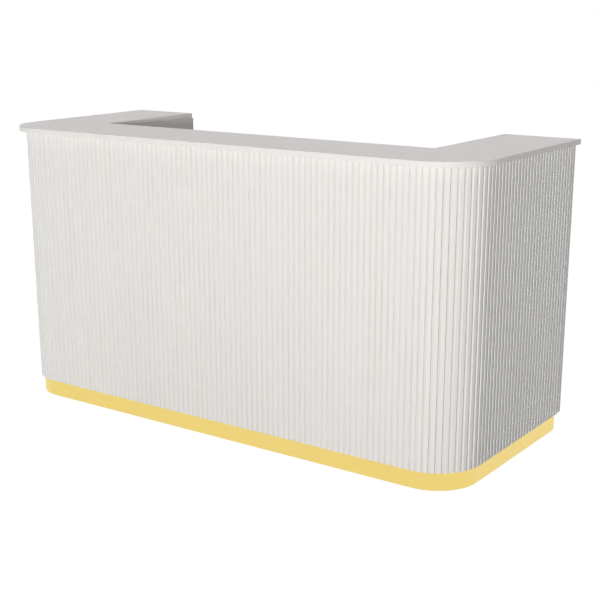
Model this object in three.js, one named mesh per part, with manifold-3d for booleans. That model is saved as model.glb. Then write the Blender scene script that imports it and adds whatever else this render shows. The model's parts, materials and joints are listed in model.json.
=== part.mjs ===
// Checkout counter: a U-shaped top on a fluted shell with rounded front corners, a gold kick
// board, a cupboard in each arm, and a desk with a drawer pedestal on the staff side.
// Millimetres, +Z up, +X along the length, +Y towards the staff side.

import * as THREE from 'three';
import { mergeVertices } from 'three/addons/utils/BufferGeometryUtils.js';
import Module from 'manifold-3d';

const wasm = await Module();
wasm.setup();

// ---------------------------------------------------------------- driving dimensions

const topLength = 2000;
const topDepth = 800;
const totalHeight = 1050;
const topThickness = 18;
const ledgeDepth = 300;
const armWidth = 285;
const topOverhang = 26;

const skinThickness = 12;
const skinCornerRadius = 167;
const fluteDepth = 4.5;
const grooveFloor = 3.6;
const grooveFlank = 2.6;
const frontFlutes = 72;
const cornerFlutes = 12;
const sideFlutes = 27;

const kickHeight = 64;
const kickInset = 12;
const boardThickness = 18;
const plinthSetback = 60;
const gap = 0.3;

const deskHeight = 750;
const deskThickness = 25;
const deskSetback = 20;
const dividerSpacing = 476;
const dividerDepth = 233;
const dividerHousing = 5;

const shelfHeight = 540;
const shelfPlay = 1;
const shelfSetback = 15;

const pedestalWidth = 418;
const pedestalDepth = 450;
const pedestalBackThickness = 8;
const frontReveal = 2.5;
const frontSetback = 3.5;
const frontLift = 3;
const drawerHeights = [348, 151, 151];
const drawerBoxHeights = [250, 100, 100];
const drawerBoxLift = 25;
const drawerBoxPlay = 12;
const drawerWall = 12;
const drawerFloor = 10;
const slideSpace = 13;

const railHeight = 35;
const railDepth = 10;
const railSheet = 1.6;
const railShortfall = 4;
const runnerHeight = 26;
const runnerPlay = 1;

const doorThickness = 18;
const doorGap = 2;
const doorOverlay = 6;
const pivotPlate = 2.5;
const pivotPlateWidth = 45;
const pivotPlateDepth = 50;
const pivotInset = 5.5;
const pivotRadius = 3;
const pivotLength = 8;
const pivotClearance = 0.3;

const knobRadius = 13;
const knobReach = 22;
const knobFoot = 2;
const knobNeckEnd = 11;
const knobRim = 2;
const doorKnobHeight = 640;
const doorKnobInset = 32;
const drawerKnobDrop = 75;

const grommetRadius = 30;
const grommetX = -360;
const grommetY = -20;
const flangeRadius = 37;
const flangeHeight = 2.5;
const flangeRecess = 3;
const sleeveWall = 2;
const sleeveDepth = 20;
const capSeat = 1.5;
const cableNotchRadius = 9;

const grommetSides = 40;

const cutMargin = 1;

// ---------------------------------------------------------------- derived places

const halfLength = topLength / 2;
const frontY = -topDepth / 2;
const rearY = topDepth / 2;
const undersideZ = totalHeight - topThickness - gap;

const skinX = halfLength - topOverhang;
const skinY = frontY + topOverhang;
const cornerX = skinX - skinCornerRadius;
const cornerY = skinY + skinCornerRadius;

const kickX = skinX - kickInset;
const kickY = skinY + kickInset;
const kickRadius = skinCornerRadius - kickInset;

const sideBoardX = skinX - skinThickness - gap;
const sideBoardInnerX = sideBoardX - boardThickness;
const frontBoardY = skinY + skinThickness + gap;
const frontBoardInnerY = frontBoardY + boardThickness;
const armInnerX = halfLength - armWidth;
const armHollowX = armInnerX + boardThickness;

const deskRearY = rearY - deskSetback;
const deskUndersideZ = deskHeight - deskThickness;
const drawerFrontY = deskRearY - frontSetback;
const pedestalRearY = drawerFrontY - boardThickness;
const pedestalSideX = armInnerX - pedestalWidth;
const pedestalHollowX = pedestalSideX + boardThickness;

const armBottomZ = kickHeight + pivotPlate + 2 * gap;
const doorBottomZ = kickHeight + gap + pivotPlate + 2 * gap;
const doorTopZ = undersideZ - pivotPlate - 2 * gap;
const doorInnerX = armHollowX - doorOverlay;
const doorFrontY = rearY + doorGap;
const doorRearY = doorFrontY + doorThickness;
const pivotX = skinX - pivotInset;
const pivotY = doorFrontY + doorThickness / 2;

// ---------------------------------------------------------------- materials

const finishes = {
  laminate: { color: 0xe9e7e2, roughness: 0.5, metalness: 0 },
  carcass: { color: 0xd9d7d2, roughness: 0.6, metalness: 0 },
  gold: { color: 0xd9b45a, roughness: 0.35, metalness: 0.8 },
  steel: { color: 0xb8babd, roughness: 0.35, metalness: 0.9 },
  plastic: { color: 0x3a3b3d, roughness: 0.6, metalness: 0 },
};

const counter = new THREE.Group();

function piece(name, geometry, finish, x = 0, y = 0, z = 0) {
  const mesh = new THREE.Mesh(geometry, new THREE.MeshStandardMaterial(finishes[finish]));
  mesh.name = name;
  mesh.position.set(x, y, z);
  counter.add(mesh);
  return mesh;
}

// ---------------------------------------------------------------- shape helpers

// A box between two opposite corners; the corners may be given in either order.
function board(name, finish, xs, ys, zs) {
  const size = [xs, ys, zs].map(([a, b]) => Math.abs(b - a));
  const middle = [xs, ys, zs].map(([a, b]) => (a + b) / 2);
  return piece(name, new THREE.BoxGeometry(...size), finish, ...middle);
}

function extrudeUp(points, height, curveSegments = 24) {
  const shape = points instanceof THREE.Shape ? points : new THREE.Shape(points);
  return new THREE.ExtrudeGeometry(shape, { depth: height, bevelEnabled: false, curveSegments });
}

function toSolid(geometry) {
  const plain = geometry.clone();
  plain.deleteAttribute('normal');
  plain.deleteAttribute('uv');
  const merged = mergeVertices(plain, 1e-4);
  return new wasm.Manifold(new wasm.Mesh({
    numProp: 3,
    vertProperties: Float32Array.from(merged.attributes.position.array),
    triVerts: Uint32Array.from(merged.index.array),
  }));
}

function toGeometry(solid) {
  const mesh = solid.getMesh();
  const geometry = new THREE.BufferGeometry();
  geometry.setAttribute('position', new THREE.BufferAttribute(mesh.vertProperties, 3));
  geometry.setIndex(new THREE.BufferAttribute(mesh.triVerts, 1));
  const flat = geometry.toNonIndexed();
  flat.computeVertexNormals();
  return flat;
}

function cut(body, ...tools) {
  return toGeometry(tools.reduce((left, tool) => left.subtract(toSolid(tool)), toSolid(body)));
}

function join(first, second) {
  return toGeometry(toSolid(first).add(toSolid(second)));
}

// An upright cylinder standing on the height z.
function pin(radius, height, x, y, z, sides = 24) {
  const geometry = new THREE.CylinderGeometry(radius, radius, height, sides);
  return geometry.rotateX(Math.PI / 2).translate(x, y, z + height / 2);
}

// ---------------------------------------------------------------- top

// The top is one U-shaped board: a ledge along the front and an arm at each end, with
// rounded front corners that follow the shell at an even overhang.
function counterTop() {
  const radius = skinCornerRadius + topOverhang;
  const shape = new THREE.Shape();
  shape.moveTo(-halfLength, rearY);
  shape.lineTo(-halfLength, frontY + radius);
  shape.absarc(-halfLength + radius, frontY + radius, radius, Math.PI, 1.5 * Math.PI, false);
  shape.absarc(halfLength - radius, frontY + radius, radius, 1.5 * Math.PI, 2 * Math.PI, false);
  shape.lineTo(halfLength, rearY);
  shape.lineTo(armInnerX, rearY);
  shape.lineTo(armInnerX, frontY + ledgeDepth);
  shape.lineTo(-armInnerX, frontY + ledgeDepth);
  shape.lineTo(-armInnerX, rearY);
  const height = totalHeight - topThickness;
  piece('counter_top', extrudeUp(shape, topThickness), 'laminate', 0, 0, height);
}

// ---------------------------------------------------------------- fluted shell

// Outline of a fluted skin of a given run and flute count. place(s, d) gives the plan point
// at the distance s along the face and the depth d behind it; the run ends in a half groove
// at each end, so that neighbouring skins meet in the middle of a groove.
function flutedOutline(run, flutes, place, backSteps = 1) {
  const pitch = run / flutes;
  const outline = [];
  outline.push(place(gap / 2, fluteDepth));
  for (let i = 0; i < flutes; i += 1) {
    const start = i * pitch;
    const end = start + pitch;
    outline.push(place(start + grooveFloor / 2, fluteDepth));
    outline.push(place(start + grooveFloor / 2 + grooveFlank, 0));
    outline.push(place(end - grooveFloor / 2 - grooveFlank, 0));
    outline.push(place(end - grooveFloor / 2, fluteDepth));
  }
  outline.push(place(run - gap / 2, fluteDepth));
  for (let i = backSteps; i >= 0; i -= 1) {
    const s = gap / 2 + (run - gap) * (i / backSteps);
    outline.push(place(s, skinThickness));
  }
  return outline;
}

function flutedShell() {
  const height = undersideZ - kickHeight;
  const frontRun = 2 * cornerX;
  const frontPlace = (s, d) => new THREE.Vector2(-cornerX + s, skinY + d);
  const frontOutline = flutedOutline(frontRun, frontFlutes, frontPlace);
  piece('fluted_front_panel', extrudeUp(frontOutline, height), 'laminate', 0, 0, kickHeight);

  for (const [label, side] of [['left', -1], ['right', 1]]) {
    const cornerRun = (Math.PI / 2) * skinCornerRadius;
    const cornerPlace = (s, d) => {
      const angle = s / skinCornerRadius - Math.PI / 2;
      const radius = skinCornerRadius - d;
      const x = cornerX + radius * Math.cos(angle);
      return new THREE.Vector2(side * x, cornerY + radius * Math.sin(angle));
    };
    const cornerOutline = flutedOutline(cornerRun, cornerFlutes, cornerPlace, cornerFlutes);
    const cornerName = `fluted_corner_panel_${label}`;
    piece(cornerName, extrudeUp(cornerOutline, height), 'laminate', 0, 0, kickHeight);

    const sideRun = rearY - cornerY;
    const sidePlace = (s, d) => new THREE.Vector2(side * (skinX - d), cornerY + s);
    const sideOutline = flutedOutline(sideRun, sideFlutes, sidePlace);
    const sideName = `fluted_side_panel_${label}`;
    piece(sideName, extrudeUp(sideOutline, height), 'laminate', 0, 0, kickHeight);
  }
}

// ---------------------------------------------------------------- kick board

function kickBoards() {
  const height = kickHeight - gap;
  board('kick_front', 'gold', [-cornerX + gap, cornerX - gap], [kickY, kickY + boardThickness],
    [0, height]);
  for (const [label, side] of [['left', -1], ['right', 1]]) {
    const centre = side * cornerX;
    const start = side > 0 ? -Math.PI / 2 : Math.PI;
    const end = start + Math.PI / 2;
    const corner = new THREE.Shape();
    corner.absarc(centre, cornerY, kickRadius, start, end, false);
    corner.absarc(centre, cornerY, kickRadius - boardThickness, end, start, true);
    piece(`kick_corner_${label}`, extrudeUp(corner, height, 12), 'gold');
    board(`kick_side_${label}`, 'gold', [side * (kickX - boardThickness), side * kickX],
      [cornerY + gap, rearY], [0, height]);
  }
}

// ---------------------------------------------------------------- arms

// Floor of an arm cupboard, rounded at the outer front corner to fit inside the shell.
function armBottomShape(side) {
  const radius = kickRadius - boardThickness - gap;
  const centre = side * cornerX;
  const innerX = side * (armHollowX + gap);
  const outerX = centre + side * radius;
  const shape = new THREE.Shape();
  shape.moveTo(innerX, rearY - gap);
  shape.lineTo(innerX, cornerY - radius);
  const start = -Math.PI / 2;
  const end = side > 0 ? 0 : -Math.PI;
  shape.absarc(centre, cornerY, radius, start, end, side < 0);
  shape.lineTo(outerX, rearY - gap);
  return shape;
}

function armCupboard(label, side) {
  const span = (inner, outer) => [side * inner, side * outer];
  board(`side_board_${label}`, 'carcass', span(sideBoardInnerX, sideBoardX),
    [cornerY + gap, rearY], [kickHeight, undersideZ]);
  board(`arm_inner_panel_${label}`, 'laminate', span(armInnerX, armHollowX),
    [frontBoardInnerY + gap, rearY], [0, undersideZ]);
  const bottom = extrudeUp(armBottomShape(side), boardThickness, 12);
  piece(`arm_bottom_${label}`, bottom, 'carcass', 0, 0, armBottomZ);
  const plinthY = rearY - plinthSetback;
  board(`arm_plinth_${label}`, 'carcass', span(armHollowX + gap, kickX - boardThickness - gap),
    [plinthY, plinthY + boardThickness], [0, kickHeight - gap]);
  board(`arm_shelf_${label}`, 'carcass', span(armHollowX + shelfPlay, sideBoardInnerX - shelfPlay),
    [cornerY + shelfSetback, rearY - shelfSetback], [shelfHeight, shelfHeight + boardThickness]);
}

// ---------------------------------------------------------------- cupboard doors

// Pivot plate: an L-shaped plate that carries the pivot pin beyond the rear of the side board.
function pivotPlateGeometry(side, plateZ, pinZ) {
  const tailX = sideBoardInnerX - pivotPlateWidth;
  const tailY = rearY - pivotPlateDepth;
  const tipX = pivotX + pivotRadius;
  const tipY = pivotY + pivotRadius;
  const points = [
    [tailX, tailY], [sideBoardInnerX - gap, tailY], [sideBoardInnerX - gap, rearY + gap],
    [tipX, rearY + gap], [tipX, tipY], [tailX, tipY],
  ].map(([x, y]) => new THREE.Vector2(side * x, y));
  const plate = extrudeUp(points, pivotPlate).translate(0, 0, plateZ);
  return join(plate, pin(pivotRadius, pivotLength + pivotPlate, side * pivotX, pivotY, pinZ));
}

// A knob seen from the side: a foot on the board, a narrow neck and a flat round head.
function knobProfile() {
  const neck = knobRadius * 0.45;
  const foot = knobRadius * 0.7;
  return [
    [0, 0], [foot, 0], [foot, knobFoot], [neck, 2 * knobFoot], [neck, knobNeckEnd],
    [knobRadius, knobNeckEnd + 2 * knobRim], [knobRadius, knobReach - knobRim],
    [knobRadius - knobRim, knobReach], [0, knobReach],
  ].map(([x, y]) => new THREE.Vector2(x, y));
}

function knob(name, x, y, z) {
  piece(name, new THREE.LatheGeometry(knobProfile(), 24), 'gold', x, y, z);
}

function cupboardDoor(label, side) {
  const height = doorTopZ - doorBottomZ;
  const width = skinX - doorInnerX;
  const slab = new THREE.BoxGeometry(width, doorThickness, height).translate(
    side * (doorInnerX + width / 2), pivotY, doorBottomZ + height / 2);
  const boreRadius = pivotRadius + pivotClearance;
  const bore = (z) => pin(boreRadius, pivotLength + cutMargin, side * pivotX, pivotY, z);
  const door = cut(slab, bore(doorBottomZ - cutMargin), bore(doorTopZ - pivotLength));
  piece(`cupboard_door_${label}`, door, 'laminate');
  knob(`door_knob_${label}`, side * (doorInnerX + doorKnobInset), doorRearY + gap, doorKnobHeight);

  const lowerPlateZ = kickHeight + gap;
  const upperPlateZ = undersideZ - pivotPlate;
  piece(`door_pivot_lower_${label}`,
    pivotPlateGeometry(side, lowerPlateZ, lowerPlateZ), 'steel');
  piece(`door_pivot_upper_${label}`,
    pivotPlateGeometry(side, upperPlateZ, upperPlateZ - pivotLength), 'steel');
}

// ---------------------------------------------------------------- staff side

function frontBoard() {
  board('front_board', 'carcass', [-cornerX + gap, cornerX - gap],
    [frontBoardY, frontBoardInnerY], [kickHeight, undersideZ]);
}

// The desk carries the two dividers in shallow housings, and its cable hole has a shallow
// recess round it, so that nothing stands above the desk but the dividers.
function staffDesk() {
  const deskFrontY = frontBoardInnerY + gap;
  const deskSize = [2 * (armInnerX - gap), deskRearY - deskFrontY, deskThickness];
  const slab = new THREE.BoxGeometry(...deskSize).translate(
    0, (deskFrontY + deskRearY) / 2, deskUndersideZ + deskThickness / 2);
  const housingZ = deskHeight - dividerHousing;
  const dividerXs = { left: -dividerSpacing / 2, right: dividerSpacing / 2 };

  const housing = (centre) => new THREE.BoxGeometry(
    boardThickness + 2 * gap, dividerDepth + gap + cutMargin, dividerHousing + cutMargin,
  ).translate(centre, deskFrontY + (dividerDepth + gap - cutMargin) / 2,
    housingZ + (dividerHousing + cutMargin) / 2);
  const hole = pin(grommetRadius, deskThickness + 2 * cutMargin, grommetX, grommetY,
    deskUndersideZ - cutMargin, grommetSides);
  const recess = pin(flangeRadius + gap, flangeRecess + cutMargin, grommetX, grommetY,
    deskHeight - flangeRecess, grommetSides);
  const desk = cut(slab, housing(dividerXs.left), housing(dividerXs.right), hole, recess);
  piece('desk_board', desk, 'laminate');

  for (const [label, centre] of Object.entries(dividerXs)) {
    board(`cubby_divider_${label}`, 'carcass',
      [centre - boardThickness / 2, centre + boardThickness / 2],
      [deskFrontY, deskFrontY + dividerDepth], [housingZ + gap, undersideZ]);
  }
}

// Cable grommet: a flanged sleeve let into the desk and a cap that turns in it. The cap has a
// notch for the cables at its rim.
function cableGrommet() {
  const sleeveRadius = grommetRadius - gap;
  const bore = sleeveRadius - sleeveWall;
  const throat = bore - capSeat;
  const bevel = 1;
  const sleeve = [
    [throat, -sleeveDepth], [sleeveRadius, -sleeveDepth], [sleeveRadius, 0],
    [flangeRadius, 0], [flangeRadius - bevel, flangeHeight], [bore, flangeHeight],
    [bore, -capSeat], [throat, -capSeat - bevel], [throat, -sleeveDepth],
  ].map(([x, y]) => new THREE.Vector2(x, y));
  const ring = new THREE.LatheGeometry(sleeve, grommetSides).rotateX(Math.PI / 2);
  const seatZ = deskHeight - flangeRecess + gap;
  piece('grommet_sleeve', ring, 'plastic', grommetX, grommetY, seatZ);

  const capRadius = bore - gap;
  const notchAngle = 2 * Math.asin(cableNotchRadius / (2 * capRadius));
  const rear = Math.PI / 2;
  const cap = new THREE.Shape();
  cap.absarc(0, 0, capRadius, rear + notchAngle, rear - notchAngle + 2 * Math.PI, false);
  const notchTurn = notchAngle / 2;
  cap.absarc(0, capRadius, cableNotchRadius, -notchTurn, Math.PI + notchTurn, true);
  const capThickness = flangeHeight + capSeat - gap;
  piece('grommet_cap', extrudeUp(cap, capThickness, 32), 'plastic',
    grommetX, grommetY, seatZ - capSeat + gap);
}

// ---------------------------------------------------------------- drawer pedestal

function pedestalCarcass() {
  const backY = pedestalRearY - pedestalDepth;
  const top = deskUndersideZ - gap;
  const across = [pedestalHollowX + gap, armInnerX - gap];
  board('pedestal_side', 'carcass', [pedestalSideX, pedestalHollowX],
    [backY, pedestalRearY], [0, top]);
  board('pedestal_back', 'carcass', across,
    [backY, backY + pedestalBackThickness], [kickHeight, top]);
  board('pedestal_bottom', 'carcass', across,
    [backY + pedestalBackThickness + gap, pedestalRearY], [kickHeight, kickHeight + boardThickness]);
  const plinthY = pedestalRearY - plinthSetback;
  board('pedestal_plinth', 'carcass', across,
    [plinthY, plinthY + boardThickness], [0, kickHeight - gap]);
}

// Plan profile of the fixed rail, a channel open towards the drawer, seen along the slide.
// toDrawer is 1 where the drawer lies at larger x and -1 where it lies at smaller x.
function railProfile(toDrawer) {
  const half = railHeight / 2;
  return [
    [0, -half], [railDepth, -half], [railDepth, -half + railSheet], [railSheet, -half + railSheet],
    [railSheet, half - railSheet], [railDepth, half - railSheet], [railDepth, half], [0, half],
  ].map(([x, y]) => new THREE.Vector2(toDrawer * x, y));
}

function drawer(index, frontBottomZ) {
  const frontHeight = drawerHeights[index];
  const boxHeight = drawerBoxHeights[index];
  const name = (part) => `drawer_${index + 1}_${part}`;
  const frontXs = [pedestalSideX, armInnerX - frontReveal];
  board(name('front'), 'laminate', frontXs, [pedestalRearY + gap, drawerFrontY],
    [frontBottomZ, frontBottomZ + frontHeight]);

  const boxXs = [pedestalHollowX + slideSpace, armInnerX - slideSpace];
  const boxWidth = boxXs[1] - boxXs[0];
  const boxDepth = pedestalDepth - pedestalBackThickness - drawerBoxPlay;
  const boxRearY = pedestalRearY;
  const boxBottomZ = frontBottomZ + drawerBoxLift;
  const outer = new THREE.BoxGeometry(boxWidth, boxDepth, boxHeight);
  const inner = new THREE.BoxGeometry(
    boxWidth - 2 * drawerWall, boxDepth - 2 * drawerWall, boxHeight).translate(0, 0, drawerFloor);
  piece(name('box'), cut(outer, inner), 'carcass',
    (boxXs[0] + boxXs[1]) / 2, boxRearY - boxDepth / 2, boxBottomZ + boxHeight / 2);

  const knobZ = frontBottomZ + frontHeight - drawerKnobDrop;
  knob(name('knob'), (frontXs[0] + frontXs[1]) / 2, drawerFrontY + gap, knobZ);

  const railZ = boxBottomZ + boxHeight / 2;
  const railStartY = boxRearY - boxDepth;
  const railLength = boxDepth - railShortfall;
  const sides = [['left', 1, pedestalHollowX + gap], ['right', -1, armInnerX - gap]];
  for (const [label, toDrawer, wallX] of sides) {
    const rail = extrudeUp(railProfile(toDrawer), railLength).rotateX(Math.PI / 2)
      .translate(0, railLength, 0);
    piece(name(`rail_${label}`), rail, 'steel', wallX, railStartY, railZ);
    const runnerXs = [railSheet + runnerPlay, slideSpace - 2 * gap].map((x) => wallX + toDrawer * x);
    board(name(`runner_${label}`), 'steel', runnerXs,
      [railStartY, railStartY + railLength], [railZ - runnerHeight / 2, railZ + runnerHeight / 2]);
  }
}

function drawers() {
  let bottomZ = kickHeight + frontLift;
  drawerHeights.forEach((height, index) => {
    drawer(index, bottomZ);
    bottomZ += height + frontReveal;
  });
}

// ---------------------------------------------------------------- assembly

counterTop();
flutedShell();
kickBoards();
frontBoard();
for (const [label, side] of [['left', -1], ['right', 1]]) {
  armCupboard(label, side);
  cupboardDoor(label, side);
}
staffDesk();
cableGrommet();
pedestalCarcass();
drawers();

// The origin is the middle of the whole footprint, door knobs included, on the floor.
const rearReach = doorRearY + gap + knobReach;
counter.position.y = -(frontY + rearReach) / 2;

export default counter;
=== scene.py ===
"""The looks of a checkout counter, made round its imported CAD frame.

Metres, +Z up. The customer stands at -Y and the staff at +Y.
"""

import json
import math

import bmesh
import bpy
from mathutils import Matrix, Vector


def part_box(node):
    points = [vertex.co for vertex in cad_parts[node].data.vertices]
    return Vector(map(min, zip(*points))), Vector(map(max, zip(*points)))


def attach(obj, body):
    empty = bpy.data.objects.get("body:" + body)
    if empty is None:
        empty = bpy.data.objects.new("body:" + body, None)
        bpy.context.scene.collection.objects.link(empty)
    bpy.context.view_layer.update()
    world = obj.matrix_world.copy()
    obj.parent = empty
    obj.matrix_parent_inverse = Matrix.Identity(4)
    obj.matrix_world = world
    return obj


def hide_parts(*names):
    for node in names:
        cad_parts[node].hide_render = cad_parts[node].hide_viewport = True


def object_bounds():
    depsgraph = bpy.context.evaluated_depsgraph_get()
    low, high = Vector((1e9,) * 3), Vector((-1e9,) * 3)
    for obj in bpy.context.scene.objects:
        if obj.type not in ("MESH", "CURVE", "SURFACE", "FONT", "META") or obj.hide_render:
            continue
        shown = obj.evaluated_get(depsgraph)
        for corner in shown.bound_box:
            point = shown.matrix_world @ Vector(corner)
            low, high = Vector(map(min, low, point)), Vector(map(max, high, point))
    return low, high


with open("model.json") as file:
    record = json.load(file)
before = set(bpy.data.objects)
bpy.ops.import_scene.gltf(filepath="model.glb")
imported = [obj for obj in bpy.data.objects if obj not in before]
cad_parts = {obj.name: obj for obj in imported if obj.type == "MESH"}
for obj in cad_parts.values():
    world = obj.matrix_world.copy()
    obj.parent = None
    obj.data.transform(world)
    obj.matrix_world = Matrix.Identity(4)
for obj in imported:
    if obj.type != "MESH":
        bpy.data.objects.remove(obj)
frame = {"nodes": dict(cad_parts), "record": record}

cad_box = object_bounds()

# ---------------------------------------------------------------- sizes

MM = 0.001

# Flutes, from one groove to the next: half a groove floor, a flank, the crest, a flank, half a floor.
FRONT_FLUTES = 72
CORNER_FLUTES = 12
SIDE_FLUTES = 27
FLUTE_DEPTH = 4.5 * MM
GROOVE_FLOOR = 3.6 * MM
GROOVE_FLANK = 2.6 * MM
CREST_ROUNDING = 1.5 * MM
FLOOR_ROUNDING = 1.2 * MM
SKIN_GAP = 0.3 * MM

# How far each kind of sharp edge is rounded over.
TOP_EASE = 1.3 * MM
KICK_EASE = 0.4 * MM
EASE_OF_SLOT = {
    "laminate": 1.0 * MM,
    "carcass": 1.0 * MM,
    "zinc_steel": 0.35 * MM,
    "plastic": 0.4 * MM,
}
MERGE_DISTANCE = 0.02 * MM
FLAT_ANGLE = math.radians(0.5)
SHARP_ANGLE = math.radians(30)
CREASE_ANGLE = math.radians(35)
EDGE_FACING = 0.7

KICK_SHEET = 1.2 * MM
KICK_ARC_STEPS = 36
KICK_CORE_GAP = 0.05 * MM
KICK_CORE_DROP = 0.5 * MM

SLIDE_SHEET = 1.3 * MM
SLIDE_OUTER_BEND = 1.3 * SLIDE_SHEET
SLIDE_INNER_BEND = 0.5 * MM
SLIDE_LIP_ROUNDING = 0.3 * MM
SLIDE_SCREWS = (0.08, 0.5, 0.92)

SCREW_HEAD = 3.6 * MM
SCREW_RISE = 0.7 * MM

PIN_RADIUS = 2.5 * MM
PIN_REACH = 7.0 * MM
PIN_FLANGE = 4.0 * MM
PIN_FLANGE_REACH = 1.0 * MM
PIN_ROUNDINGS = (0.2 * MM, 0.3 * MM, 0.3 * MM, 0.8 * MM)
PIN_SETBACK = 60 * MM
PIN_CLEARANCE = 0.2 * MM

# The two screws of an upper pivot plate, as shares of the plate's tail along X and Y.
PIVOT_SHEET = 2.5 * MM
PIVOT_TAIL = (45 * MM, 50 * MM)
PIVOT_SCREWS = ((0.25, 0.20), (0.62, 0.45))

BUFFER_RADIUS = 2.4 * MM
BUFFER_RISE = 1.6 * MM
BUFFER_ROUNDINGS = (0.2 * MM, 1.0 * MM)
BUFFER_INSET = 60 * MM
BUFFER_CLEARANCE = 0.4 * MM

# A knob's outline as (share of the head's radius, share of the reach), and the rounding of each corner.
KNOB_OUTLINE = (
    (0.0, 0.0), (0.70, 0.0), (0.70, 0.07), (0.45, 0.20), (0.42, 0.48), (0.80, 0.62),
    (1.0, 0.70), (1.0, 0.93), (0.90, 1.0), (0.55, 0.985), (0.0, 0.95),
)
KNOB_ROUNDINGS = [size * MM for size in (0.4, 0.3, 1.2, 2.0, 1.5, 0.8, 0.6, 0.5, 1)]

SLOT_OF = {row["node"]: row["material_slot"] for row in frame["record"]["subparts"]}
BODY_OF = {
    node: body
    for body, nodes in frame["record"]["behaviour"]["bodies"].items()
    for node in nodes
}
SIDES = (("left", -1), ("right", 1))

# ---------------------------------------------------------------- material helpers


class Shading:
    """One procedural material: a Principled surface and short calls that add nodes to it."""

    def __init__(self, name):
        self.material = bpy.data.materials.new(name)
        self.material.use_nodes = True
        self.nodes = self.material.node_tree.nodes
        self.links = self.material.node_tree.links
        self.nodes.clear()
        output = self.nodes.new("ShaderNodeOutputMaterial")
        self.surface = self.nodes.new("ShaderNodeBsdfPrincipled")
        self.links.new(self.surface.outputs["BSDF"], output.inputs["Surface"])
        self.place = self.nodes.new("ShaderNodeTexCoord").outputs["Object"]

    def node(self, kind, inputs=None, **settings):
        made = self.nodes.new(kind)
        for key, value in settings.items():
            setattr(made, key, value)
        for key, value in (inputs or {}).items():
            if isinstance(value, bpy.types.NodeSocket):
                self.links.new(value, made.inputs[key])
            else:
                made.inputs[key].default_value = value
        return made

    def noise(self, scale, detail=3.0, stretch=(1, 1, 1)):
        mapping = self.node("ShaderNodeMapping", {"Vector": self.place, "Scale": stretch})
        made = self.node(
            "ShaderNodeTexNoise",
            {"Vector": mapping.outputs["Vector"], "Scale": scale, "Detail": detail},
        )
        return made.outputs["Fac"]

    def spread(self, value, low, high, start=0.3, end=0.7):
        """A value from start to end, spread over low to high."""
        made = self.node(
            "ShaderNodeMapRange",
            {"Value": value, "From Min": start, "From Max": end, "To Min": low, "To Max": high},
        )
        return made.outputs["Result"]

    def maths(self, operation, first, second):
        return self.node("ShaderNodeMath", {0: first, 1: second}, operation=operation).outputs[0]

    def blend(self, share, first, second):
        """A colour between two others, each a socket or an (r, g, b) tuple."""
        colours = [c if isinstance(c, bpy.types.NodeSocket) else (*c, 1) for c in (first, second)]
        made = self.node("ShaderNodeMix", {}, data_type="RGBA")
        factor, low, high = made.inputs[0], made.inputs[6], made.inputs[7]
        for socket, value in zip((factor, low, high), (share, *colours)):
            if isinstance(value, bpy.types.NodeSocket):
                self.links.new(value, socket)
            else:
                socket.default_value = value
        return made.outputs[2]

    def edge(self, radius):
        """Near 1 along the piece's edges and 0 on its faces."""
        bevel = self.node("ShaderNodeBevel", {"Radius": radius}, samples=4)
        geometry = self.nodes.new("ShaderNodeNewGeometry")
        turn = self.node(
            "ShaderNodeVectorMath",
            {0: bevel.outputs["Normal"], 1: geometry.outputs["Normal"]},
            operation="DOT_PRODUCT",
        )
        return self.spread(turn.outputs["Value"], 1.0, 0.0, 0.80, 0.99)

    def wear(self, radius, patch_scale, low, high):
        """Rubbed edges, from low to high in patches."""
        patches = self.spread(self.noise(patch_scale), low, high)
        return self.maths("MULTIPLY", self.edge(radius), patches)

    def layer(self, name):
        """The value that the mesh code stored at each vertex under a name."""
        return self.node("ShaderNodeAttribute", attribute_name=name).outputs["Fac"]

    def finish(self, colour, roughness, height, strength, distance):
        bump = self.node(
            "ShaderNodeBump", {"Height": height, "Strength": strength, "Distance": distance}
        )
        self.links.new(colour, self.surface.inputs["Base Color"])
        self.links.new(roughness, self.surface.inputs["Roughness"])
        self.links.new(bump.outputs["Normal"], self.surface.inputs["Normal"])
        return self.material

    def set(self, **values):
        for name, value in values.items():
            self.surface.inputs[name.replace("_", " ")].default_value = value


LACQUER = (0.825, 0.815, 0.785)


def board_finish(name, light, shade, worn, roughness, grain, specular):
    """A coated board: soft tonal drift, a fine grain and edges rubbed by handling."""
    shading = Shading(name)
    shading.set(Specular_IOR_Level=specular)
    drift = shading.spread(shading.noise(3.0), 0.0, 1.0)
    speck = shading.spread(shading.noise(420.0, 2.0), 0.0, 0.35)
    colour = shading.blend(drift, light, shade)
    colour = shading.blend(speck, colour, shade)
    rubbed = shading.wear(1.2 * MM, 24.0, 0.0, 0.6)
    colour = shading.blend(rubbed, colour, worn)
    rough = shading.spread(shading.noise(9.0), roughness - 0.05, roughness + 0.05)
    rough = shading.maths("SUBTRACT", rough, shading.maths("MULTIPLY", rubbed, 0.08))
    return shading.finish(colour, rough, shading.noise(grain, 4.0), 0.12, 0.15 * MM)


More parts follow.
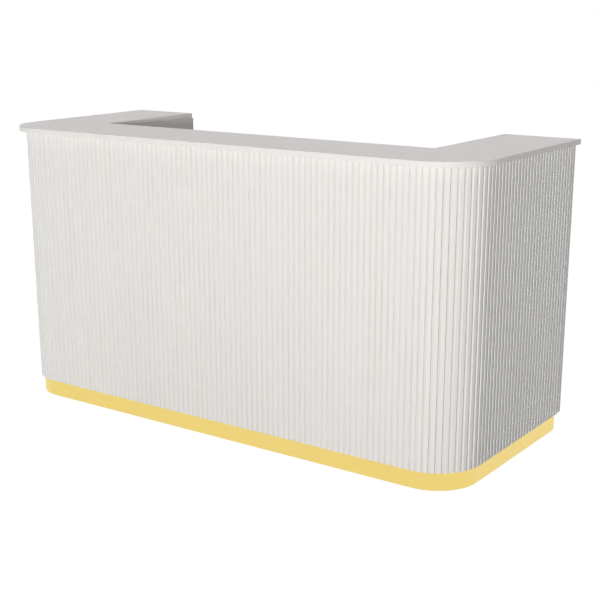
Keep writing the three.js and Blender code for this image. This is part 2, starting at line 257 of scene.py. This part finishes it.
def fluted_finish():
    """Sprayed lacquer on milled ribs: faint upright streaks, a little dust with painted shade darkening
    the grooves, and crest edges lightened by rubbing and a painted highlight.
    """
    shading = Shading("fluted_lacquer")
    shading.set(Specular_IOR_Level=0.35)
    streaks = shading.spread(shading.noise(34.0, 3.0, (1, 1, 0.03)), 0.0, 1.0)
    drift = shading.spread(shading.noise(2.2), 0.0, 0.6)
    colour = shading.blend(streaks, LACQUER, (0.805, 0.798, 0.770))
    colour = shading.blend(drift, colour, (0.80, 0.79, 0.765))
    # Painted shade with a little dust: the grooves darken to a warm grey, the more the deeper they are.
    dust_and_shade_strength = shading.spread(shading.noise(16.0, 3.0, (1, 1, 0.2)), 0.25, 0.45)
    deep = shading.spread(shading.layer("groove"), 0.0, 1.0, 0.15, 0.9)
    dust_and_painted_shade = shading.maths("MULTIPLY", deep, dust_and_shade_strength)
    colour = shading.blend(dust_and_painted_shade, colour, (0.56, 0.50, 0.435))
    # Painted highlight with some rubbed wear: the rounded crest edges are lightened in patches.
    crest_wear_and_highlight = shading.spread(shading.noise(30.0), 0.1, 0.7)
    rubbed = shading.maths("MULTIPLY", shading.layer("crest_edge"), crest_wear_and_highlight)
    colour = shading.blend(rubbed, colour, (0.86, 0.85, 0.83))
    rough = shading.spread(shading.noise(12.0, 3.0, (1, 1, 0.1)), 0.40, 0.50)
    rough = shading.maths("SUBTRACT", rough, shading.maths("MULTIPLY", rubbed, 0.06))
    return shading.finish(colour, rough, shading.noise(180.0, 2.0), 0.05, 0.10 * MM)


def gold_finish(name, roughness, brushing):
    """Satin gold, finely brushed along the length of the piece."""
    shading = Shading(name)
    shading.set(Metallic=1.0)
    lines = shading.noise(380.0, 3.0, brushing)
    drift = shading.spread(shading.noise(4.0), 0.0, 1.0)
    colour = shading.blend(drift, (0.885, 0.688, 0.217), (0.865, 0.663, 0.205))
    colour = shading.blend(shading.spread(lines, 0.0, 0.25), colour, (0.80, 0.60, 0.18))
    rubbed = shading.wear(0.8 * MM, 40.0, 0.0, 0.7)
    colour = shading.blend(rubbed, colour, (0.93, 0.78, 0.36))
    rough = shading.spread(lines, roughness - 0.05, roughness + 0.07)
    return shading.finish(colour, rough, lines, 0.08, 0.08 * MM)


def steel_finish():
    """Zinc-plated sheet with its patchy bloom."""
    shading = Shading("zinc_steel")
    shading.set(Metallic=1.0)
    bloom = shading.spread(shading.noise(70.0, 5.0), 0.0, 1.0)
    colour = shading.blend(bloom, (0.66, 0.67, 0.68), (0.55, 0.56, 0.58))
    rubbed = shading.maths("MULTIPLY", shading.edge(0.5 * MM), 0.6)
    colour = shading.blend(rubbed, colour, (0.82, 0.82, 0.83))
    rough = shading.spread(shading.noise(120.0, 4.0), 0.28, 0.45)
    return shading.finish(colour, rough, shading.noise(700.0, 3.0), 0.10, 0.08 * MM)


def plastic_finish():
    """Dark moulded plastic with a fine spark-eroded grain."""
    shading = Shading("moulded_plastic")
    grain = shading.noise(1400.0, 3.0)
    drift = shading.spread(shading.noise(30.0), 0.0, 1.0)
    colour = shading.blend(drift, (0.030, 0.031, 0.034), (0.042, 0.043, 0.046))
    rubbed = shading.wear(0.5 * MM, 60.0, 0.1, 0.6)
    colour = shading.blend(rubbed, colour, (0.11, 0.11, 0.115))
    rough = shading.spread(shading.noise(45.0), 0.48, 0.60)
    return shading.finish(colour, rough, grain, 0.25, 0.06 * MM)


MATERIALS = {
    "laminate": board_finish(
        "top_laminate", light=(0.80, 0.767, 0.757), shade=(0.785, 0.752, 0.742),
        worn=(0.69, 0.645, 0.61), roughness=0.50, grain=900.0, specular=0.25,
    ),
    "carcass": board_finish(
        "melamine", light=(0.785, 0.762, 0.75), shade=(0.762, 0.74, 0.728),
        worn=(0.66, 0.62, 0.58), roughness=0.55, grain=650.0, specular=0.30,
    ),
    "gold_laminate": gold_finish("gold_laminate", roughness=0.34, brushing=(0.03, 0.03, 1)),
    "gold_metal": gold_finish("gold_metal", roughness=0.24, brushing=(1, 0.15, 1)),
    "zinc_steel": steel_finish(),
    "plastic": plastic_finish(),
}
FLUTED = fluted_finish()
EDGE_LACQUER = board_finish(
    "edge_lacquer", light=LACQUER, shade=(0.81, 0.80, 0.77),
    worn=(0.72, 0.69, 0.65), roughness=0.45, grain=900.0, specular=0.30,
)

# ---------------------------------------------------------------- mesh helpers


def add_piece(name, mesh, body, slot, nodes=(), material=None):
    """Shows a mesh as a piece of a body. It stands for the CAD nodes that it is given."""
    mesh.materials.append(material or MATERIALS[slot])
    mesh.shade_smooth()
    mesh.set_sharp_from_angle(angle=CREASE_ANGLE)
    piece = bpy.data.objects.new(name, mesh)
    bpy.context.scene.collection.objects.link(piece)
    flatness = piece.modifiers.new("flat_faces_stay_flat", "WEIGHTED_NORMAL")
    flatness.keep_sharp = True
    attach(piece, body)
    if nodes:
        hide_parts(*nodes)
    return piece


def mesh_from(name, bm):
    """A mesh of a closed bmesh, with its faces turned outwards. The bmesh is used up."""
    bmesh.ops.recalc_face_normals(bm, faces=bm.faces)
    mesh = bpy.data.meshes.new(name)
    bm.to_mesh(mesh)
    bm.free()
    return mesh


def eased(node, width, segments):
    """A copy of a CAD node with its flat faces whole and its sharp edges rounded over."""
    bm = bmesh.new()
    bm.from_mesh(frame["nodes"][node].data)
    bmesh.ops.remove_doubles(bm, verts=bm.verts, dist=MERGE_DISTANCE)
    bmesh.ops.dissolve_limit(
        bm, angle_limit=FLAT_ANGLE, verts=bm.verts, edges=bm.edges, delimit={"NORMAL"}
    )
    sharp = [e for e in bm.edges if e.is_manifold and e.calc_face_angle() > SHARP_ANGLE]
    bmesh.ops.bevel(
        bm, geom=sharp, offset=width, segments=segments, profile=0.5, affect="EDGES",
        clamp_overlap=True, harden_normals=False,
    )
    mesh = mesh_from(f"{node}_fine", bm)
    return add_piece(f"{node}_fine", mesh, BODY_OF[node], SLOT_OF[node], [node])


def filleted(points, radii, steps=4):
    """An open outline with each corner between its two ends replaced by an arc of its radius."""
    outline = [points[0]]
    for before, corner, after, radius in zip(points, points[1:], points[2:], radii):
        back = (before - corner).normalized()
        ahead = (after - corner).normalized()
        half = back.angle(ahead) / 2
        reach = radius / math.tan(half)
        middle = corner + (back + ahead).normalized() * (radius / math.sin(half))
        start = corner + back * reach - middle
        end = corner + ahead * reach - middle
        sweep = start.angle(end)
        for i in range(steps + 1):
            share = i / steps
            weights = [math.sin((1 - share) * sweep), math.sin(share * sweep)]
            outline.append(middle + (start * weights[0] + end * weights[1]) / math.sin(sweep))
    outline.append(points[-1])
    return outline


def turned(profile, centre, axis, steps):
    """A solid of revolution. The profile is (radius, height) pairs from the axis round to the axis."""
    bm = bmesh.new()
    across = axis.orthogonal().normalized()
    rings = []
    for radius, height in profile:
        foot = centre + axis * height
        if radius < 1e-6:
            rings.append([bm.verts.new(foot)])
            continue
        turns = [Matrix.Rotation(math.tau * i / steps, 3, axis) for i in range(steps)]
        rings.append([bm.verts.new(foot + turn @ across * radius) for turn in turns])
    for low, high in zip(rings, rings[1:]):
        for i in range(steps):
            j = (i + 1) % steps
            corners = [low[i % len(low)], low[j % len(low)], high[j % len(high)], high[i % len(high)]]
            unique = list(dict.fromkeys(corners))
            if len(unique) > 2:
                bm.faces.new(unique)
    return bm


def joined(parts):
    """One bmesh made of several."""
    whole = bmesh.new()
    for part in parts:
        loose = bpy.data.meshes.new("loose")
        part.to_mesh(loose)
        part.free()
        whole.from_mesh(loose)
        bpy.data.meshes.remove(loose)
    return whole


# ---------------------------------------------------------------- fluted shell

front_low, front_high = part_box("fluted_front_panel")
side_low, side_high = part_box("fluted_side_panel_right")
CORNER_X = front_high.x + SKIN_GAP / 2
CORNER_Y = side_low.y - SKIN_GAP / 2
SKIN_RADIUS = side_high.x - CORNER_X
SKIN_THICKNESS = front_high.y - front_low.y


def flute_profile(pitch):
    """One flute from mid groove to mid groove, as (distance along, depth) pairs."""
    floor = GROOVE_FLOOR / 2
    crest = floor + GROOVE_FLANK
    corners = [
        Vector((0, FLUTE_DEPTH)),
        Vector((floor, FLUTE_DEPTH)),
        Vector((crest, 0)),
        Vector((pitch - crest, 0)),
        Vector((pitch - floor, FLUTE_DEPTH)),
        Vector((pitch, FLUTE_DEPTH)),
    ]
    return filleted(corners, [FLOOR_ROUNDING, CREST_ROUNDING, CREST_ROUNDING, FLOOR_ROUNDING])


def fluted_skin(name, run, flutes, place):
    """A fluted skin; place gives the plan point at a distance along the run and a depth behind it."""
    pitch = run / flutes
    profile = flute_profile(pitch)[1:]
    stations = [Vector((SKIN_GAP / 2, FLUTE_DEPTH))]
    for i in range(flutes):
        stations += [Vector((i * pitch + p.x, p.y)) for p in profile]
    stations[-1].x -= SKIN_GAP / 2
    low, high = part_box(name)
    bm = bmesh.new()
    groove = bm.verts.layers.float.new("groove")
    crest_edge = bm.verts.layers.float.new("crest_edge")
    columns = []
    for distance, depth in stations:
        face, back = place(distance, depth), place(distance, SKIN_THICKNESS)
        columns.append([
            bm.verts.new((*face, low.z)),
            bm.verts.new((*face, high.z)),
            bm.verts.new((*back, high.z)),
            bm.verts.new((*back, low.z)),
        ])
        for vertex in columns[-1][:2]:
            vertex[groove] = depth / FLUTE_DEPTH
            vertex[crest_edge] = 1.0 if 0 < depth < CREST_ROUNDING else 0.0
    for here, there in zip(columns, columns[1:]):
        for i in range(4):
            j = (i + 1) % 4
            bm.faces.new([here[i], here[j], there[j], there[i]])
    bm.faces.new(columns[0])
    bm.faces.new(reversed(columns[-1]))
    mesh = mesh_from(f"{name}_fine", bm)
    add_piece(f"{name}_fine", mesh, "counter", SLOT_OF[name], [name], FLUTED)


def fluted_shell():
    fluted_skin(
        "fluted_front_panel", 2 * CORNER_X, FRONT_FLUTES,
        lambda s, d: (s - CORNER_X, front_low.y + d),
    )
    for label, side in SIDES:
        def corner(s, d, side=side):
            angle = s / SKIN_RADIUS
            radius = SKIN_RADIUS - d
            x = CORNER_X + radius * math.sin(angle)
            return side * x, CORNER_Y - radius * math.cos(angle)

        def flank(s, d, side=side):
            return side * (side_high.x - d), CORNER_Y + s

        fluted_skin(f"fluted_corner_panel_{label}", SKIN_RADIUS * math.pi / 2, CORNER_FLUTES, corner)
        side_run = side_high.y + SKIN_GAP / 2 - CORNER_Y
        fluted_skin(f"fluted_side_panel_{label}", side_run, SIDE_FLUTES, flank)


# ---------------------------------------------------------------- gold kick board


def kick_run(name, outer, inner, height, slot, nodes=()):
    """One strip that runs round the kick board without a seam, between two depths behind its face."""
    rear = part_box("kick_side_right")[1]
    radius = rear.x - CORNER_X
    path = [(Vector((1, 0)), Vector((rear.x, rear.y)))]
    for i in range(KICK_ARC_STEPS + 1):
        angle = math.pi / 2 * i / KICK_ARC_STEPS
        out = Vector((math.cos(angle), -math.sin(angle)))
        path.append((out, Vector((CORNER_X, CORNER_Y)) + out * radius))
    path += [(Vector((-out.x, out.y)), Vector((-p.x, p.y))) for out, p in reversed(path)]
    middle = (outer + inner) / 2
    corners = [
        Vector((middle, 0)), Vector((outer, 0)), Vector((outer, height)), Vector((inner, height)),
        Vector((inner, 0)), Vector((middle, 0)),
    ]
    section = filleted(corners, [KICK_EASE] * 4, 3)[:-1]
    bm = bmesh.new()
    rings = [
        [bm.verts.new((p.x - out.x * d, p.y - out.y * d, z)) for d, z in section]
        for out, p in path
    ]
    for here, there in zip(rings, rings[1:]):
        for i in range(len(section)):
            j = (i + 1) % len(section)
            bm.faces.new([here[i], here[j], there[j], there[i]])
    bm.faces.new(rings[0])
    bm.faces.new(reversed(rings[-1]))
    add_piece(name, mesh_from(name, bm), "counter", slot, nodes)


def kick_board():
    """A gold sheet, bent round the corners, on a board core that is only seen from behind."""
    nodes = ["kick_front"]
    nodes += [f"kick_{part}_{label}" for part in ("corner", "side") for label, _ in SIDES]
    low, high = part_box("kick_front")
    thickness = high.y - low.y
    kick_run("kick_sheet", 0, KICK_SHEET, high.z, "gold_laminate", nodes)
    kick_run("kick_core", KICK_SHEET + KICK_CORE_GAP, thickness, high.z - KICK_CORE_DROP, "carcass")


# ---------------------------------------------------------------- boards and drawers


def counter_top():
    """The top is laminate, but its outer edge is sprayed with the same lacquer as the flutes."""
    top = eased("counter_top", TOP_EASE, 3)
    top.data.materials.append(EDGE_LACQUER)
    for face in top.data.polygons:
        outward = face.normal.xy.dot(face.center.xy) > 0
        if outward and abs(face.normal.z) < EDGE_FACING:
            face.material_index = 1


def boards():
    """Every node that no other function here makes: boards, drawers, door pivots and the grommet."""
    made_elsewhere = ("counter_top", "fluted_", "kick_", "knob", "_rail_", "_runner_")
    for node in sorted(frame["nodes"]):
        if not any(word in node for word in made_elsewhere):
            eased(node, EASE_OF_SLOT[SLOT_OF[node]], 2)


# ---------------------------------------------------------------- drawer slides


def strip_along_y(node, section, start, end):
    """A rolled sheet section, as (x, z) points round its outline, run along Y in a node's place."""
    bm = bmesh.new()
    rings = [[bm.verts.new((x, y, z)) for x, z in section] for y in (start, end)]
    count = len(section)
    for i in range(count):
        j = (i + 1) % count
        bm.faces.new([rings[0][i], rings[0][j], rings[1][j], rings[1][i]])
    bm.faces.new(rings[0])
    bm.faces.new(reversed(rings[1]))
    name = f"{node}_fine"
    add_piece(name, mesh_from(name, bm), BODY_OF[node], "zinc_steel", [node])


def channel(web_x, lip_x, low_z, high_z):
    """The outline of a rolled channel: its web stands at web_x and its two lips reach to lip_x."""
    inward = SLIDE_SHEET if lip_x > web_x else -SLIDE_SHEET
    middle = (low_z + high_z) / 2
    outer = [Vector(p) for p in (
        (web_x, middle), (web_x, low_z), (lip_x, low_z), (lip_x, low_z + SLIDE_SHEET),
        (web_x + inward, low_z + SLIDE_SHEET), (web_x + inward, high_z - SLIDE_SHEET),
        (lip_x, high_z - SLIDE_SHEET), (lip_x, high_z), (web_x, high_z), (web_x, middle),
    )]
    lip = [SLIDE_LIP_ROUNDING] * 2
    roundings = [SLIDE_OUTER_BEND, *lip, SLIDE_INNER_BEND, SLIDE_INNER_BEND, *lip, SLIDE_OUTER_BEND]
    return filleted(outer, roundings)[:-1]


def slides():
    """Ball slides: a channel screwed to the pedestal, and a smaller channel on the drawer inside it."""
    for number in (1, 2, 3):
        for label, toward in (("left", 1), ("right", -1)):
            rail = f"drawer_{number}_rail_{label}"
            runner = f"drawer_{number}_runner_{label}"
            low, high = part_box(rail)
            web, lip = (low.x, high.x) if toward > 0 else (high.x, low.x)
            strip_along_y(rail, channel(web, lip, low.z, high.z), low.y, high.y)
            heads = bmesh.new()
            for share in SLIDE_SCREWS:
                along = low.y + share * (high.y - low.y)
                spot = Vector((web + toward * SLIDE_SHEET, along, (low.z + high.z) / 2))
                screw_head(heads, spot, Vector((toward, 0, 0)))
            add_piece(f"{rail}_screws", mesh_from(rail, heads), BODY_OF[rail], "zinc_steel")
            low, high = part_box(runner)
            web, lip = (high.x, low.x) if toward > 0 else (low.x, high.x)
            strip_along_y(runner, channel(web, lip, low.z, high.z), low.y, high.y)


# ---------------------------------------------------------------- small fixings


def screw_head(bm, centre, outward):
    """Adds a low domed head with a cross recess, which stands a little proud of its surface."""
    across = outward.orthogonal().normalized()
    up = outward.cross(across)

    def ring(points, level):
        return [bm.verts.new(centre + across * x + up * y + outward * level) for x, y in points]

    def circle(size, steps=24):
        turns = [math.tau * i / steps for i in range(steps)]
        return [(size * math.cos(a), size * math.sin(a)) for a in turns]

    def edges(loop):
        return [bm.edges.new(pair) for pair in zip(loop, loop[1:] + loop[:1])]

    def wall(low, high):
        for i in range(len(low)):
            j = (i + 1) % len(low)
            bm.faces.new([low[i], low[j], high[j], high[i]])

    def cross(arm, half):
        quarter = [(arm, -half), (arm, half), (half, half)]
        points = []
        for _ in range(4):
            points += quarter
            quarter = [(-y, x) for x, y in quarter]
        return points

    foot = ring(circle(SCREW_HEAD), 0)
    shoulder = ring(circle(0.97 * SCREW_HEAD), 0.5 * SCREW_RISE)
    crown = ring(circle(0.82 * SCREW_HEAD), SCREW_RISE)
    mouth = ring(cross(0.5 * SCREW_HEAD, 0.13 * SCREW_HEAD), SCREW_RISE)
    pit = ring(cross(0.38 * SCREW_HEAD, 0.10 * SCREW_HEAD), 0.15 * SCREW_RISE)
    bmesh.ops.triangle_fill(bm, edges=edges(crown) + edges(mouth), use_dissolve=False)
    bm.faces.new(foot)
    wall(foot, shoulder)
    wall(shoulder, crown)
    wall(mouth, pit)
    bm.faces.new(pit)


def shelf_pins():
    """Four steel pins under each shelf, two in each side of the cupboard."""
    outline = [Vector(p) for p in (
        (0, 0), (PIN_FLANGE, 0), (PIN_FLANGE, PIN_FLANGE_REACH),
        (PIN_RADIUS, PIN_FLANGE_REACH), (PIN_RADIUS, PIN_REACH), (0, PIN_REACH),
    )]
    profile = filleted(outline, PIN_ROUNDINGS, 3)
    for label, side in SIDES:
        low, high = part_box(f"arm_shelf_{label}")
        walls = {
            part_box(f"side_board_{label}")[0 if side > 0 else 1].x: -side,
            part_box(f"arm_inner_panel_{label}")[1 if side > 0 else 0].x: side,
        }
        pins = []
        for wall, inward in walls.items():
            for y in (low.y + PIN_SETBACK, high.y - PIN_SETBACK):
                foot = Vector((wall, y, low.z - PIN_RADIUS - PIN_CLEARANCE))
                pins.append(turned(profile, foot, Vector((inward, 0, 0)), 24))
        add_piece(f"shelf_pins_{label}", mesh_from("pins", joined(pins)), "counter", "zinc_steel")


def pivot_screws():
    """Two screws up through the upper pivot plate of each door, inside the cupboard."""
    for label, side in SIDES:
        low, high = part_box(f"door_pivot_upper_{label}")
        plate_z = high.z - PIVOT_SHEET
        heads = bmesh.new()
        inner = low.x if side > 0 else high.x
        for along, back in PIVOT_SCREWS:
            x = inner + side * along * PIVOT_TAIL[0]
            y = low.y + back * PIVOT_TAIL[1]
            screw_head(heads, Vector((x, y, plate_z)), Vector((0, 0, -1)))
        add_piece(f"pivot_screws_{label}", mesh_from("screws", heads), "counter", "zinc_steel")


def door_buffers():
    """Two soft buffers on the inside of each door, where it meets the arm's inner panel."""
    outline = [Vector(p) for p in (
        (0, 0), (BUFFER_RADIUS, 0), (BUFFER_RADIUS, BUFFER_RISE), (0, BUFFER_RISE),
    )]
    profile = filleted(outline, BUFFER_ROUNDINGS)
    for label, side in SIDES:
        low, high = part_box(f"cupboard_door_{label}")
        inner = low.x if side > 0 else high.x
        buffers = []
        for z in (low.z + BUFFER_INSET, high.z - BUFFER_INSET):
            foot = Vector((inner + side * (BUFFER_RADIUS + BUFFER_CLEARANCE), low.y, z))
            buffers.append(turned(profile, foot, Vector((0, -1, 0)), 24))
        mesh = mesh_from("buffers", joined(buffers))
        add_piece(f"door_buffers_{label}", mesh, BODY_OF[f"cupboard_door_{label}"], "plastic")


# ---------------------------------------------------------------- knobs


def knobs():
    """Turned knobs with a flared foot, a waisted neck and a dished head."""
    for node in sorted(n for n in frame["nodes"] if "knob" in n):
        low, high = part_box(node)
        centre = Vector(((low.x + high.x) / 2, low.y, (low.z + high.z) / 2))
        reach = high.y - low.y
        head = (high.x - low.x) / 2
        outline = [Vector((across * head, along * reach)) for across, along in KNOB_OUTLINE]
        bm = turned(filleted(outline, KNOB_ROUNDINGS), centre, Vector((0, 1, 0)), 48)
        add_piece(f"{node}_fine", mesh_from(node, bm), BODY_OF[node], "gold_metal", [node])


# ---------------------------------------------------------------- camera, light and floor

CAMERA_AIM = Vector((0.0473, 0.0340, 0.2859))
CAMERA_DISTANCE = 4.4959
CAMERA_AZIMUTH = math.radians(35.6707)
CAMERA_ELEVATION = math.radians(15.7665)
CAMERA_ROLL = math.radians(-0.208)
CAMERA_LENS = 71.558
CAMERA_SENSOR = 36
CAMERA_SHIFT = (0.01172, 0.05966)


def add_camera():
    data = bpy.data.cameras.new("camera")
    data.lens = CAMERA_LENS
    data.sensor_width = CAMERA_SENSOR
    data.shift_x, data.shift_y = CAMERA_SHIFT
    camera = bpy.data.objects.new("camera", data)
    bpy.context.scene.collection.objects.link(camera)
    back = direction_to(CAMERA_AZIMUTH, CAMERA_ELEVATION)
    camera.location = CAMERA_AIM + back * CAMERA_DISTANCE
    turn = (-back).to_track_quat("-Z", "Y").to_matrix()
    camera.rotation_euler = (turn @ Matrix.Rotation(CAMERA_ROLL, 3, "Z")).to_euler()
    bpy.context.scene.camera = camera


KEY_AZIMUTH = math.radians(18)
KEY_ELEVATION = math.radians(6.8)
KEY_DISTANCE = 10.0
KEY_RADIUS = 0.42
KEY_STRENGTH = 2.02
REAR_AZIMUTH = math.radians(203)
REAR_ELEVATION = math.radians(45)
REAR_WIDTH = math.radians(40)
REAR_STRENGTH = 1.98
SKY_HORIZON = 0.36
SKY_ZENITH = 0.06
SKY_MIRRORED = 0.9
FLOOR_HALF = 30.0
FLOOR_DROP = 0.2 * MM
FLOOR_BOUNCE = 0.38
FLOOR_GLOW = 1.12
FLOOR_GLOW_SHARE = 0.88


def direction_to(azimuth, elevation):
    """The way to a lamp or camera. Its azimuth turns from -Y to +X."""
    return Vector((
        math.sin(azimuth) * math.cos(elevation),
        -math.cos(azimuth) * math.cos(elevation),
        math.sin(elevation),
    ))


def add_key():
    """A round lamp in front of the counter, near enough for its light to fade towards the far end."""
    data = bpy.data.lights.new("key", "POINT")
    data.energy = KEY_STRENGTH * 4 * math.pi * KEY_DISTANCE ** 2
    data.shadow_soft_size = KEY_RADIUS
    lamp = bpy.data.objects.new("key", data)
    lamp.location = CAMERA_AIM + direction_to(KEY_AZIMUTH, KEY_ELEVATION) * KEY_DISTANCE
    lamp.visible_camera = False
    lamp.visible_glossy = False
    bpy.context.scene.collection.objects.link(lamp)


def add_rear():
    """A wide, distant softbox that lights the staff side."""
    data = bpy.data.lights.new("rear", "SUN")
    data.energy = REAR_STRENGTH
    data.angle = REAR_WIDTH
    lamp = bpy.data.objects.new("rear", data)
    lamp.rotation_euler = (math.pi / 2 - REAR_ELEVATION, 0, REAR_AZIMUTH)
    lamp.visible_glossy = False
    bpy.context.scene.collection.objects.link(lamp)


def add_world():
    """White where the camera sees it. The light that it sheds is soft, and fades with height."""
    world = bpy.data.worlds.new("studio")
    bpy.context.scene.world = world
    world.use_nodes = True
    nodes, links = world.node_tree.nodes, world.node_tree.links
    nodes.clear()
    rays = nodes.new("ShaderNodeLightPath")
    place = nodes.new("ShaderNodeTexCoord")
    parts = nodes.new("ShaderNodeSeparateXYZ")
    fade = nodes.new("ShaderNodeMapRange")
    fade.inputs["To Min"].default_value = SKY_HORIZON
    fade.inputs["To Max"].default_value = SKY_ZENITH
    mirrored = nodes.new("ShaderNodeMix")
    mirrored.inputs[3].default_value = SKY_MIRRORED
    seen = nodes.new("ShaderNodeMix")
    seen.inputs[3].default_value = 1.0
    sky = nodes.new("ShaderNodeBackground")
    sky.inputs["Color"].default_value = (1, 1, 1, 1)
    output = nodes.new("ShaderNodeOutputWorld")
    links.new(place.outputs["Generated"], parts.inputs[0])
    links.new(parts.outputs["Z"], fade.inputs["Value"])
    links.new(fade.outputs["Result"], mirrored.inputs[2])
    links.new(rays.outputs["Is Glossy Ray"], mirrored.inputs[0])
    links.new(rays.outputs["Is Camera Ray"], seen.inputs[0])
    links.new(mirrored.outputs[0], seen.inputs[2])
    links.new(seen.outputs[0], sky.inputs["Strength"])
    links.new(sky.outputs[0], output.inputs["Surface"])


def add_floor():
    """A pale floor, near white to the camera and in reflections, and darker for the light it sheds."""
    mesh = bpy.data.meshes.new("floor")
    corners = [(x * FLOOR_HALF, y * FLOOR_HALF, 0) for x, y in ((-1, -1), (1, -1), (1, 1), (-1, 1))]
    mesh.from_pydata(corners, [], [(0, 1, 2, 3)])
    floor = bpy.data.objects.new("floor", mesh)
    floor.location.z = cad_box[0].z - FLOOR_DROP
    bpy.context.scene.collection.objects.link(floor)
    material = bpy.data.materials.new("floor")
    material.use_nodes = True
    nodes, links = material.node_tree.nodes, material.node_tree.links
    nodes.clear()
    rays = nodes.new("ShaderNodeLightPath")
    matt = nodes.new("ShaderNodeBsdfDiffuse")
    matt.inputs["Color"].default_value = (FLOOR_BOUNCE, FLOOR_BOUNCE, FLOOR_BOUNCE, 1)
    glow = nodes.new("ShaderNodeEmission")
    glow.inputs["Strength"].default_value = FLOOR_GLOW
    pale = nodes.new("ShaderNodeMixShader")
    pale.inputs[0].default_value = FLOOR_GLOW_SHARE
    shed = nodes.new("ShaderNodeMixShader")
    output = nodes.new("ShaderNodeOutputMaterial")
    links.new(matt.outputs[0], pale.inputs[1])
    links.new(glow.outputs[0], pale.inputs[2])
    links.new(rays.outputs["Is Diffuse Ray"], shed.inputs[0])
    links.new(pale.outputs[0], shed.inputs[1])
    links.new(matt.outputs[0], shed.inputs[2])
    links.new(shed.outputs[0], output.inputs["Surface"])
    mesh.materials.append(material)


# ---------------------------------------------------------------- the scene

add_camera()
add_key()
add_rear()
add_world()
add_floor()
bpy.context.scene.view_settings.view_transform = "Standard"

fluted_shell()
kick_board()
counter_top()
boards()
slides()
shelf_pins()
pivot_screws()
door_buffers()
knobs()
